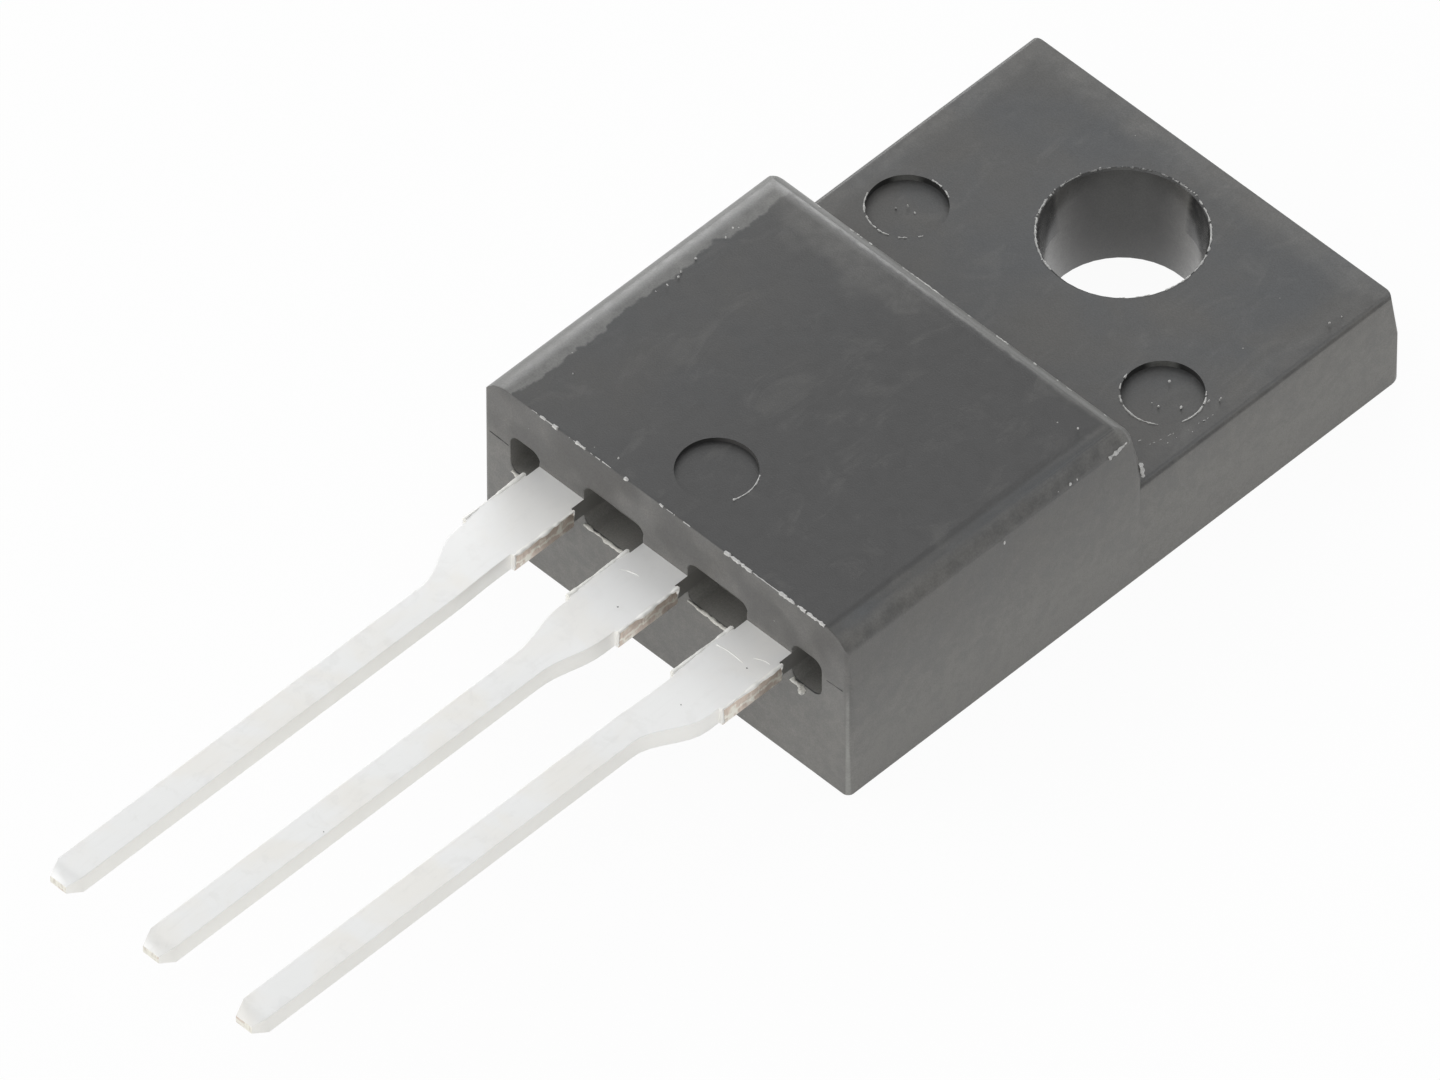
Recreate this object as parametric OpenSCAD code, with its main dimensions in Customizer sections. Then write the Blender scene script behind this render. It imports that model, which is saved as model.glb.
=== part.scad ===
// Fully moulded three-lead power transistor with a screw hole in its tab.
// The marked face is up, the heatsink face lies at z = 0, the leads point to -Y
// and the origin is where the axis of the screw hole meets the heatsink face.

/* [Moulding] */
// Width of the moulding
body_w = 10; // [9.6:0.1:11]
// Height of the upper block above the heatsink face
body_h = 4.52; // [4.3:0.02:5]
// From the screw hole to the front face, where the leads come out
hole_to_front = 12.75; // [12.2:0.05:13.6]
// From the screw hole to the rear face of the upper block, at its foot
hole_to_step = 4.45; // [4.3:0.05:5.2]
// From the screw hole to the end of the tab
hole_to_end = 2.77; // [2.6:0.01:3.6]
// Thickness of the tab
tab_t = 2.51; // [2.3:0.01:2.7]
// Diameter of the screw hole
hole_d = 3.2; // [2.9:0.05:3.5]
// Width by which the screw hole flares towards the marked side
hole_flare = 0.1; // [0.03:0.01:0.2]
// Depth of the flare
flare_depth = 1.1; // [0.5:0.05:1.2]
// Width of the broken edge round the screw hole on the marked side
hole_rim = 0.04; // [0.02:0.01:0.15]

/* [Edges of the moulding] */
// How far the upper block leans in on each side above the parting plane
side_lean = 0.04; // [0.01:0.01:0.15]
// How far the rear face of the upper block leans in above the parting plane
step_lean = 0.28; // [0.05:0.01:0.35]
// Radius of the crowned edge round the marked face
crown_r = 0.71; // [0.5:0.01:0.75]
// Depth of the crowned edge below the marked face
crown_drop = 0.42; // [0.3:0.01:0.45]
// How far the tab leans in on each side over its thickness
tab_lean = 0.08; // [0.01:0.01:0.12]
// Radius of the tab's upper long edges
tab_edge_r = 0.13; // [0.08:0.01:0.3]
// Height where the tab's rear face starts to lean in
tab_rear_from = 1.3; // [0.8:0.05:1.6]
// How far the tab's rear face leans in above that
tab_rear_lean = 0.21; // [0.05:0.01:0.3]
// Radius of the tab's rear corners, seen from above
tab_corner_r = 0.3; // [0.2:0.05:1]
// Radius of the upper block's rear corners, seen from above
step_corner_r = 0.35; // [0.2:0.05:0.8]

/* [Ejector marks] */
// Diameter of the round marks that the mould's ejector pins leave
mark_d = 1.66; // [1.2:0.02:2]
// Depth of the two marks on the tab
tab_mark_depth = 0.15; // [0.05:0.01:0.3]
// Depth of the mark on the upper block
top_mark_depth = 0.1; // [0.05:0.01:0.2]
// Distance of the tab's marks from the centre line
tab_mark_x = 3.5; // [3.1:0.05:3.8]
// Distance of the tab's marks from the screw hole, towards the leads
tab_mark_y = 2.48; // [1.5:0.02:3]
// Distance of the upper block's mark from the front face
top_mark_y = 1.42; // [1.2:0.02:2.5]

/* [Leads] */
// Distance between neighbouring leads
lead_pitch = 2.54; // [2.5:0.01:2.65]
// Thickness of the lead strip
lead_t = 0.45; // [0.4:0.01:0.5]
// Height of the leads' upper face, which is also the mould's parting plane
lead_top_z = 3.03; // [2.9:0.01:3.1]
// Length of a lead in front of the moulding
lead_len = 14.05; // [10:0.05:15]
// Width of the slim part
slim_w = 0.7; // [0.6:0.01:0.9]
// Width of the broad part beside the moulding
broad_w = 1.22; // [1:0.01:1.3]
// How far the broad part of an outer lead is set outwards
broad_shift = 0.3; // [0:0.01:0.35]
// From the front face to where the cut tie-bar stubs start
stub_from = 0.35; // [0.1:0.05:0.6]
// From the front face to where the cut tie-bar stubs end
stub_to = 2; // [1.5:0.05:2.25]
// How far a cut tie-bar stub stands out on each side
stub_out = 0.09; // [0.03:0.01:0.15]
// Length of the broad part, where the taper starts
broad_len = 2.3; // [2.3:0.05:3]
// Length of the taper from broad to slim
taper_len = 1.5; // [1:0.05:2]
// Length of the tip's bevels
tip_len = 0.35; // [0.2:0.01:0.5]
// Amount that the tip's bevels take off each side
tip_cut = 0.13; // [0.05:0.01:0.2]

/* [Lead pockets] */
// Depth of the pockets beside the leads in the front face
pocket_depth = 0.7; // [0.4:0.05:0.9]
// Drop of the pockets' floor below the leads
pocket_below = 0.24; // [0.1:0.01:0.4]
// Rise of the inner pockets' ceiling above the leads
pocket_above = 0.42; // [0.2:0.01:0.6]
// Rise of the outermost pockets' ceiling above the leads
outer_pocket_above = 0.3; // [0.2:0.01:0.6]
// Reach of the outermost pockets beyond the outer leads
pocket_reach = 0.8; // [0.5:0.05:1]
// Radius of the pockets' corners, seen from the front
pocket_corner_r = 0.23; // [0.05:0.01:0.3]

/* [Inside] */
// Thickness of the plastic under the die pad, which insulates it
insulation = 0.6; // [0.5:0.01:0.7]
// Thickness of the die pad
pad_t = 0.6; // [0.5:0.01:0.8]
// Width of the die pad
pad_w = 8; // [7:0.1:8.4]
// Plastic between the die pad and the screw hole
pad_to_hole = 1.4; // [1.2:0.05:2]
// From the front face to the die pad
pad_from_front = 2.6; // [2.55:0.05:3]
// From the front face to the start of the centre lead's bend
bend_from_front = 1.25; // [1.1:0.05:1.4]
// Run of the centre lead's bend
bend_run = 0.9; // [0.8:0.05:1]
// From the front face to the inner end of an outer lead
post_len = 2.3; // [2.1:0.05:2.4]
// From the front face to where an outer lead broadens inside
post_neck = 1.1; // [1:0.05:1.2]
// How much an outer lead broadens towards the middle
post_in = 0.5; // [0.3:0.05:0.7]
// Side of the square silicon die
die_w = 3.4; // [2.5:0.1:4]
// Thickness of the die
die_t = 0.28; // [0.2:0.01:0.35]
// Thickness of the solder under the die
solder_t = 0.06; // [0.03:0.01:0.1]
// Width of the solder that shows round the die
solder_rim = 0.12; // [0.05:0.01:0.3]
// Diameter of the emitter's bond wire
emitter_wire_d = 0.3; // [0.2:0.01:0.38]
// Diameter of the base's bond wire
base_wire_d = 0.2; // [0.12:0.01:0.3]
// Height of the centre of a wire's loop
wire_centre_z = 2; // [1.9:0.05:2.1]

/* [Hidden] */

$fn = 64;
arc_steps = 8;
past = 1;
half_w = body_w / 2;
front_y = -hole_to_front;
step_y = -hole_to_step;
hole_r = hole_d / 2;

// Angle that the crowned edge turns through before it meets the side
crown_angle = acos(1 - crown_drop / crown_r);
crown_in = crown_r * sin(crown_angle);

lead_z = lead_top_z - lead_t;
slim_start = broad_len + taper_len;
broad_x = lead_pitch + broad_shift;
broad_half = broad_w / 2;

pad_front_y = front_y + pad_from_front;
pad_rear_y = -hole_r - pad_to_hole;
pad_top_z = insulation + pad_t;
bend_y = front_y + bend_from_front;
bend_drop = lead_z - insulation;
bend_angle = atan2(bend_drop, bend_run);

die_y = (pad_front_y + pad_rear_y) / 2;
solder_w = die_w + 2 * solder_rim;
die_z = pad_top_z + solder_t;
die_top_z = die_z + die_t;
foot_l = 0.56;
foot_h = 0.14;
foot_spare = 0.1;

plastic = [0.2, 0.2, 0.21];
tinned = [0.86, 0.85, 0.82];

// Points of an arc of radius r about [cx, cy], from angle a to angle b
function arc(cx, cy, r, a, b) =
    [for (i = [0:arc_steps]) let (t = a + (b - a) * i / arc_steps) [cx + r * cos(t), cy + r * sin(t)]];

// A section drawn in X and Z, drawn out along Y from y0 to y1
module along_y(y0, y1) {
    translate([0, y1, 0]) rotate([90, 0, 0]) linear_extrude(y1 - y0) children();
}

// A section drawn in Y and Z, drawn out along X to both sides of the middle
module along_x(length) {
    rotate([90, 0, 90]) linear_extrude(length, center = true) children();
}

// Column that trims a block's rear: upright up to height z0, then leaning in by lean at height z1
module rear_trim(y1, corner, z0, z1, lean) {
    reach = hole_to_front + hole_to_end;
    intersection() {
        linear_extrude(body_h) plan(y1 - 2 * reach, y1, corner);
        translate([0, y1, z0]) rotate([atan2(lean, z1 - z0), 0, 0]) translate([0, -y1, -reach])
            linear_extrude(2 * reach) plan(y1 - 2 * reach, y1, corner);
    }
}

// Outline seen from above with a square front and rounded rear corners
module plan(y0, y1, corner) {
    polygon(concat(
        [[-half_w, y0], [half_w, y0]],
        arc(half_w - corner, y1 - corner, corner, 0, 90),
        arc(corner - half_w, y1 - corner, corner, 90, 180)));
}

// Section of the upper block across its width, with the crowned edges
module block_section() {
    side = half_w - side_lean;
    crown_x = side - crown_in;
    crown_z = body_h - crown_r;
    polygon(concat(
        [[-half_w, 0], [half_w, 0], [half_w, lead_top_z]],
        arc(crown_x, crown_z, crown_r, 90 - crown_angle, 90),
        arc(-crown_x, crown_z, crown_r, 90, 90 + crown_angle),
        [[-half_w, lead_top_z]]));
}

// Section of the upper block along its length: sharp front edge, crowned rear edge
module block_profile() {
    polygon(concat(
        [[front_y, 0], [step_y, 0], [step_y, lead_top_z]],
        arc(step_y - step_lean - crown_in, body_h - crown_r, crown_r, 90 - crown_angle, 90),
        [[front_y, body_h]]));
}

module tab_section() {
    side = half_w - tab_lean - tab_edge_r;
    polygon(concat(
        [[-half_w, 0], [half_w, 0]],
        arc(side, tab_t - tab_edge_r, tab_edge_r, 0, 90),
        arc(-side, tab_t - tab_edge_r, tab_edge_r, 90, 180)));
}

module upper_block() {
    intersection() {
        rear_trim(step_y, step_corner_r, lead_top_z, body_h - crown_drop, step_lean);
        along_y(front_y - past, step_y + past) block_section();
        along_x(body_w + 2 * past) block_profile();
    }
}

module tab_slab() {
    intersection() {
        rear_trim(hole_to_end, tab_corner_r, tab_rear_from, tab_t, tab_rear_lean);
        along_y(pad_front_y, hole_to_end + past) tab_section();
    }
}

// Straight bore below, flared above it, with a broken edge at the tab's upper face
module screw_hole() {
    flare_r = hole_r + hole_flare;
    translate([0, 0, -past]) cylinder(h = tab_t + 2 * past, r = hole_r);
    translate([0, 0, tab_t - flare_depth]) cylinder(h = flare_depth - hole_rim, r1 = hole_r, r2 = flare_r);
    translate([0, 0, tab_t - hole_rim]) cylinder(h = 2 * hole_rim, r1 = flare_r, r2 = flare_r + 2 * hole_rim);
}

module ejector_mark(x, y, z, depth) {
    translate([x, y, z - depth]) cylinder(h = depth + past, d = mark_d);
}

// Pocket beside the leads with rounded corners, from x0 to x1, open to the front
module pocket(x0, x1, above) {
    r = pocket_corner_r;
    low = lead_z - pocket_below + r;
    high = lead_top_z + above - r;
    along_y(front_y - past, front_y + pocket_depth) polygon(concat(
        arc(x1 - r, low, r, -90, 0), arc(x1 - r, high, r, 0, 90),
        arc(x0 + r, high, r, 90, 180), arc(x0 + r, low, r, 180, 270)));
}

module lead_pockets() {
    for (side = [0, 1]) mirror([side, 0, 0]) {
        pocket(broad_half, broad_x - broad_half, pocket_above);
        pocket(broad_x + broad_half, broad_x + broad_half + pocket_reach, outer_pocket_above);
    }
}

// Edge of a lead from the moulding to its tip: [distance from the front face, sideways place]
function lead_edge(broad, slim, out) = concat(
    [[0, broad], [stub_from, broad], [stub_from, broad + out], [stub_to, broad + out], [stub_to, broad]],
    [for (i = [0:arc_steps]) let (u = i / arc_steps)
        [broad_len + taper_len * u, slim + (broad - slim) * (1 + cos(180 * u)) / 2]],
    [[lead_len - tip_len, slim]]);

// Outline of a lead in front of the moulding; slim_x and broad_x are the two centre lines
module lead_outline(slim_x, wide_x) {
    right = lead_edge(wide_x + broad_w / 2, slim_x + slim_w / 2, stub_out);
    left = lead_edge(wide_x - broad_w / 2, slim_x - slim_w / 2, -stub_out);
    tip = slim_w / 2 - tip_cut;
    polygon(concat(
        [for (p = right) [p[1], front_y - p[0]]],
        [[slim_x + tip, front_y - lead_len], [slim_x - tip, front_y - lead_len]],
        [for (i = [len(left) - 1:-1:0]) [left[i][1], front_y - left[i][0]]]));
}

// Tip seen from the side, with its bevels above and below
module lead_side() {
    end_y = front_y - lead_len;
    polygon([[end_y, lead_z + tip_cut], [end_y, lead_top_z - tip_cut], [end_y + tip_len, lead_top_z],
             [0, lead_top_z], [0, lead_z], [end_y + tip_len, lead_z]]);
}

module outer_part(slim_x, wide_x) {
    intersection() {
        translate([0, 0, lead_z]) linear_extrude(lead_t) lead_outline(slim_x, wide_x);
        along_x(3 * body_w) lead_side();
    }
}

// Straight piece of lead strip inside the moulding, from x0 to x1 and y0 to y1
module strip(x0, x1, y0, y1) {
    translate([x0, y0, lead_z]) cube([x1 - x0, y1 - y0, lead_t]);
}

// Left outer lead; the right one is its mirror image
module side_lead() {
    outer_part(-lead_pitch, -broad_x);
    strip(-broad_x - broad_half, -broad_x + broad_half, front_y - stub_to / 2, front_y + post_len);
    strip(-broad_x, -broad_x + broad_half + post_in, front_y + post_neck, front_y + post_len);
}

// Bend that takes the centre lead down to the die pad
module centre_bend() {
    mitre = lead_t * tan(bend_angle / 2);
    pad_meet_y = bend_y + mitre + (lead_top_z - pad_top_z) / tan(bend_angle);
    inside_y = max(pad_meet_y, pad_front_y) + bend_run;
    along_x(broad_w) polygon([
        [front_y - stub_to / 2, lead_z], [bend_y, lead_z], [bend_y + bend_run, insulation],
        [inside_y, insulation], [inside_y, pad_top_z], [pad_meet_y, pad_top_z],
        [bend_y + mitre, lead_top_z], [front_y - stub_to / 2, lead_top_z]]);
}

module die_pad() {
    translate([-pad_w / 2, pad_front_y, insulation])
        cube([pad_w, pad_rear_y - pad_front_y, pad_t]);
}

// Loop of bond wire from a place on the die to a place on a lead, with a flat foot at each end
module bond_wire(from, to, wire_d) {
    run = norm(to - from);
    heading = atan2(to[1] - from[1], to[0] - from[0]);
    low = die_top_z - wire_centre_z;
    high = lead_top_z - wire_centre_z;
    reach = (run * run + high * high - low * low) / (2 * run);
    loop_r = sqrt(reach * reach + low * low);
    lead_angle = atan2(high, run - reach);
    die_angle = 360 + atan2(low, -reach);
    over = 6;
    translate([from[0], from[1], 0]) rotate([0, 0, heading]) {
        difference() {
            translate([reach, 0, wire_centre_z]) rotate([90, 0, 0]) rotate([0, 0, lead_angle - over])
                rotate_extrude(angle = die_angle - lead_angle + 2 * over) translate([loop_r, 0]) circle(d = wire_d);
            translate([-run / 2, -wire_d, die_top_z - past]) cube([run, 2 * wire_d, past]);
            translate([run - reach / 2, -wire_d, lead_top_z - past]) cube([run, 2 * wire_d, past]);
        }
        bond_foot(0, die_top_z, wire_d);
        bond_foot(run, lead_top_z, wire_d);
    }
}

module bond_foot(x, z, wire_d) {
    translate([x - foot_l / 2, -wire_d / 2 - foot_spare / 2, z]) cube([foot_l, wire_d + foot_spare, foot_h]);
}

module emitter_wire_shape() {
    bond_wire([die_w / 6, die_y - die_w / 6], [broad_x - post_in / 2, front_y + post_len - foot_l], emitter_wire_d);
}

module base_wire_shape() {
    bond_wire([-die_w / 3, die_y - die_w / 4], [post_in / 2 - broad_x, front_y + post_len - foot_l], base_wire_d);
}

module frame_shape() {
    outer_part(0, 0);
    centre_bend();
    die_pad();
}

module die_shape() {
    translate([-die_w / 2, die_y - die_w / 2, die_z]) cube([die_w, die_w, die_t]);
}

module solder_shape() {
    translate([-solder_w / 2, die_y - solder_w / 2, pad_top_z]) cube([solder_w, solder_w, solder_t]);
}

// One-piece epoxy moulding, cast round everything that it holds
module moulded_body() color(plastic) difference() {
    union() {
        upper_block();
        tab_slab();
    }
    screw_hole();
    for (side = [-1, 1]) ejector_mark(side * tab_mark_x, -tab_mark_y, tab_t, tab_mark_depth);
    ejector_mark(0, front_y + top_mark_y, body_h, top_mark_depth);
    lead_pockets();
    frame_shape();
    side_lead();
    mirror([1, 0, 0]) side_lead();
    solder_shape();
    die_shape();
    emitter_wire_shape();
    base_wire_shape();
}

module collector_lead_frame() color(tinned) frame_shape();

module base_lead() color(tinned) side_lead();

module emitter_lead() color(tinned) mirror([1, 0, 0]) side_lead();

module transistor_die() color([0.35, 0.36, 0.42]) die_shape();

module die_attach_solder() color([0.62, 0.62, 0.6]) solder_shape();

module emitter_bond_wire() color([0.8, 0.8, 0.82]) emitter_wire_shape();

module base_bond_wire() color([0.8, 0.8, 0.82]) base_wire_shape();

moulded_body();
collector_lead_frame();
base_lead();
emitter_lead();
transistor_die();
die_attach_solder();
emitter_bond_wire();
base_bond_wire();
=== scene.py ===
import math

import bmesh
import bpy
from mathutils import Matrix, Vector


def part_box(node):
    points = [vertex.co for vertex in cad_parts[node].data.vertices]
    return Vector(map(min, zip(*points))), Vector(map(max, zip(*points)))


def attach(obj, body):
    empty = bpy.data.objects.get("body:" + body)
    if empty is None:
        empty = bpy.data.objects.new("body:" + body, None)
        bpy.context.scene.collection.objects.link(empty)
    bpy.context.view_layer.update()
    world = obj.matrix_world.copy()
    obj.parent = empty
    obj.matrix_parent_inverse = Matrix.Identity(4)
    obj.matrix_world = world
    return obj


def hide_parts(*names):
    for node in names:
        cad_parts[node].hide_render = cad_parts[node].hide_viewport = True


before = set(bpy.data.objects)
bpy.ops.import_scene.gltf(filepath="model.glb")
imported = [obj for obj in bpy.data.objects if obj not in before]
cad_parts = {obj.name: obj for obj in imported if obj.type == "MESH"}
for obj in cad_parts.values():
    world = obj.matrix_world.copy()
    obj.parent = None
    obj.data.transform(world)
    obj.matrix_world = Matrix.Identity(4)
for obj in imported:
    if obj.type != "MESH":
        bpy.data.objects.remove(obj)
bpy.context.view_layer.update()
print("frame loaded with", len(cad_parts), "nodes")

# Meshes are worked on in millimetres and put back in metres at the end
perMetre = 1000.0
mm = 0.001


def inMm(point):
    return Vector(point) * perMetre


bodyLow, bodyHigh = (inMm(p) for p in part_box("moulded_body"))
frontY, topZ = bodyLow.y, bodyHigh.z


# Small helpers for node trees

def plug(tree, value, socket):
    if isinstance(value, bpy.types.NodeSocket):
        tree.links.new(value, socket)
    else:
        socket.default_value = value


def addNode(tree, kind, inputs=None, **settings):
    node = tree.nodes.new(kind)
    for name, value in settings.items():
        setattr(node, name, value)
    for name, value in (inputs or {}).items():
        plug(tree, value, node.inputs[name])
    return node


def calc(tree, operation, a, b=0.0, c=0.0):
    return addNode(tree, "ShaderNodeMath", {0: a, 1: b, 2: c}, operation=operation).outputs[0]


def vectorCalc(tree, operation, inputs, output="Vector"):
    return addNode(tree, "ShaderNodeVectorMath", inputs, operation=operation).outputs[output]


def inTurn(tree, operation, first, others):
    for other in others:
        first = calc(tree, operation, first, other)
    return first


def times(tree, first, *others):
    return inTurn(tree, "MULTIPLY", first, others)


def plus(tree, first, *others):
    return inTurn(tree, "ADD", first, others)


def largest(tree, first, *others):
    return inTurn(tree, "MAXIMUM", first, others)


def rest(tree, share):
    return calc(tree, "SUBTRACT", 1.0, share)


def fade(tree, value, start, end, low=0.0, high=1.0):
    limits = {"Value": value, "From Min": start, "From Max": end, "To Min": low, "To Max": high}
    return addNode(tree, "ShaderNodeMapRange", limits, interpolation_type="SMOOTHSTEP").outputs["Result"]


noiseSpan = (0.3, 0.7)  # most values of a noise lie between these


def vary(tree, noise, low=0.0, high=1.0):
    return fade(tree, noise, *noiseSpan, low, high)


def mixColour(tree, factor, a, b, mode="MIX"):
    node = addNode(tree, "ShaderNodeMix", data_type="RGBA", blend_type=mode)
    for index, value in ((0, factor), (6, a), (7, b)):
        plug(tree, value, node.inputs[index])
    return node.outputs[2]


def noiseOf(tree, place, size, detail=3.0, roughness=0.5, distortion=0.0):
    grain = {"Vector": place, "Scale": perMetre / size, "Detail": detail, "Roughness": roughness,
             "Distortion": distortion}
    return addNode(tree, "ShaderNodeTexNoise", grain).outputs[0]


def stretched(tree, place, scale):
    return addNode(tree, "ShaderNodeMapping", {"Vector": place, "Scale": scale}).outputs[0]


def separate(tree, value):
    parts = addNode(tree, "ShaderNodeSeparateXYZ", {0: value}).outputs
    return parts[0], parts[1], parts[2]


def faceSlopes(tree):
    return separate(tree, tree.nodes.new("ShaderNodeNewGeometry").outputs["Normal"])


def scattered(tree, place, gap, channel, share, rim, core):
    # round spots in a share of the cells
    cells = addNode(tree, "ShaderNodeTexVoronoi", {"Vector": place, "Scale": perMetre / gap})
    draw = addNode(tree, "ShaderNodeSeparateColor", {0: cells.outputs["Color"]}).outputs[channel]
    chosen = calc(tree, "LESS_THAN", draw, share)
    return times(tree, chosen, fade(tree, cells.outputs["Distance"], rim, core))


def mixShaders(tree, share, first, second):
    return addNode(tree, "ShaderNodeMixShader", {0: share, 1: first, 2: second}).outputs[0]


def addBump(tree, surface, relief, strength, depth):
    bump = addNode(tree, "ShaderNodeBump", {"Height": relief, "Strength": strength, "Distance": depth})
    plug(tree, bump.outputs[0], surface.inputs["Normal"])


def newMaterial(name):
    material = bpy.data.materials.new(name)
    material.use_nodes = True
    tree = material.node_tree
    tree.nodes.clear()
    surface = tree.nodes.new("ShaderNodeBsdfPrincipled")
    output = tree.nodes.new("ShaderNodeOutputMaterial")
    tree.links.new(surface.outputs[0], output.inputs[0])
    place = tree.nodes.new("ShaderNodeTexCoord").outputs["Object"]
    return material, tree, surface, place


# Epoxy moulding compound: clouded grey-black, finely grained, with pale filler grains that are painted as
# small glints.
# A noise is its size in millimetres, detail, roughness and distortion.
# A range is where a share starts and ends, and then what it goes from and to, if not from 0 to 1.
epoxy = {
    "cool": (0.049, 0.052, 0.055, 1), "warm": (0.063, 0.061, 0.057, 1), "pale": (0.225, 0.219, 0.205, 1),
    "crown": (0.19, 0.19, 0.182, 1), "band": (0.084, 0.082, 0.079, 1), "darkReflection": (0.024, 0.024, 0.024, 1),
    "shadow": (0.006, 0.006, 0.006, 1), "glint": (0.34, 0.34, 0.32, 1),
    "clouds": (2.6, 4.0, 0.55, 0.4), "patches": (1.2, 2.0, 0.5, 0.3), "mottle": (0.32, 3.0, 0.6, 0.2),
    "smears": (0.7, 4.0, 0.65, 0.8), "smearStretch": (1.0, 0.5, 1.0), "grain": (0.035, 2.0, 0.6),
    "grainShade": (0.25, 0.75, 0.86, 1.12),
    "glintGap": 0.42, "glintSize": 0.05, "glintCore": 0.4, "glintShare": 0.16,
    "roughTop": 0.4, "roughSide": 0.52, "roughBore": 0.2, "roughSpread": 0.05, "refraction": 1.55,
    "bump": 0.16, "bumpDepth": 0.00003, "bumpLostInBore": 0.8, "grainInBump": 0.5, "mottleInBump": 0.5,
}

# What tells the tab, the flat marked face and the sides apart: slopes, and heights in millimetres
faceSigns = {"upward": (0.3, 0.45), "forward": (-0.6, -0.95), "rightward": (0.4, 0.8),
             "tabBelow": (2.7, 2.6), "flat": (0.97, 0.995), "blockAbove": (4.3, 4.4)}


def fades(tree, at, look, **ranges):
    return [fade(tree, at[fact], *look[title]) for fact, title in ranges.items()]


def epoxyFacts(tree, place, look):
    at = {name: noiseOf(tree, place, *look[name]) for name in ("clouds", "patches", "mottle", "grain")}
    at["smears"] = noiseOf(tree, stretched(tree, place, look["smearStretch"]), *look["smears"])
    at["sideways"], at["lengthways"], at["height"] = separate(tree, stretched(tree, place, (perMetre,) * 3))
    at["slopeX"], at["slopeY"], at["slopeZ"] = faceSlopes(tree)
    at["upward"], at["forward"], at["rightward"] = fades(tree, at, faceSigns, slopeZ="upward",
                                                         slopeY="forward", slopeX="rightward")
    at["onTab"] = times(tree, at["upward"], *fades(tree, at, faceSigns, height="tabBelow"))
    at["onBlock"] = times(tree, *fades(tree, at, faceSigns, slopeZ="flat", height="blockAbove"))
    return at


# Painted light: the sides are paler than the top, and the right one most at its foot
sideLightLook = {"rightFoot": (4.1, 0.1, -0.26, 0.42), "frontFoot": (2.5, 0.2, 0.0, 0.14),
            "mottle": (0.3, 0.75, 0.55, 0.85),
            "bandAbove": (2.8, 3.3), "bandPatches": (0.36, 0.62, 0.36, 0.84)}


def sideLightShare(tree, at):
    foot = plus(tree, times(tree, at["rightward"], *fades(tree, at, sideLightLook, height="rightFoot")),
                times(tree, at["forward"], *fades(tree, at, sideLightLook, height="frontFoot")), 1.0)
    return times(tree, rest(tree, at["upward"]), *fades(tree, at, sideLightLook, mottle="mottle"), foot)


# Painted shade: the front face above the parting line is darker than the pale sides, in patches
def bandShadeShare(tree, at):
    return times(tree, at["forward"], *fades(tree, at, sideLightLook, height="bandAbove", patches="bandPatches"))


# Painted sheen: the crowned edges are paler than the flat top, except on the right side
crownSheenLook = {"ragged": 0.012, "below": (4.51, 4.46), "slope": (0.998, 0.985), "notRight": (0.22, 0.04),
             "rearFrom": (-5.14, -5.06), "foot": (4.06, 4.11), "cover": 0.8,
             "tornFine": 0.05, "tornCoarse": 0.12, "leftOf": (-4.12, -4.2), "leftMottle": (0.75, 1.0)}


def crownSheenShare(tree, at):
    ragged = plus(tree, at["height"], vary(tree, at["mottle"], -crownSheenLook["ragged"], crownSheenLook["ragged"]))
    sheen = times(tree, fade(tree, ragged, *crownSheenLook["below"]), *fades(tree, at, crownSheenLook, slopeZ="slope"),
                 largest(tree, *fades(tree, at, crownSheenLook, slopeX="notRight", lengthways="rearFrom")))
    # on the left the painted sheen ends in a torn line on the flat face
    small, large = crownSheenLook["tornFine"], crownSheenLook["tornCoarse"]
    torn = plus(tree, at["sideways"], plus(tree, vary(tree, at["mottle"], -small, small),
                                           vary(tree, at["patches"], -large, large)))
    leftSheen = times(tree, fade(tree, torn, *crownSheenLook["leftOf"]),
                     vary(tree, at["mottle"], *crownSheenLook["leftMottle"]))
    return times(tree, largest(tree, sheen, leftSheen), *fades(tree, at, crownSheenLook, height="foot"),
                 rest(tree, at["forward"]))


# Painted highlight down the rounded front right edge; paler borders on the tab and at the rear left of the
# marked face; painted light on the right crown and on the tab's rolled right edge; and faint smears on the
# upward faces
wearAndSheen = {"edgeRight": (0.3, 0.55), "edgeFront": (-0.3, -0.55), "edgeBelow": (3.2, 2.8),
        "edgePatches": (0.35, 0.65, 0.3, 0.8),
        "tabLeft": (-4.2, -4.65), "tabRight": (4.2, 4.65, 0.0, 0.45), "tabRear": (1.7, 2.4), "tabBorder": 0.2,
        "uneven": 0.5, "blockRear": (-6.4, -5.3), "blockLeft": (1.0, -2.0), "blockBorder": 0.22,
        "crownRight": (0.35, 0.65), "crownAbove": (3.9, 4.1), "crown": 0.42,
        "rolledEdgeLight": (0.25, 0.6), "roll": 0.3, "mottle": (0.7, 1.25), "smears": (0.52, 0.72, 0.0, 0.1)}


def frontRightEdgeHighlight(tree, at):
    return times(tree, *fades(tree, at, wearAndSheen, slopeX="edgeRight", slopeY="edgeFront", height="edgeBelow",
                              patches="edgePatches"))


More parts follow.
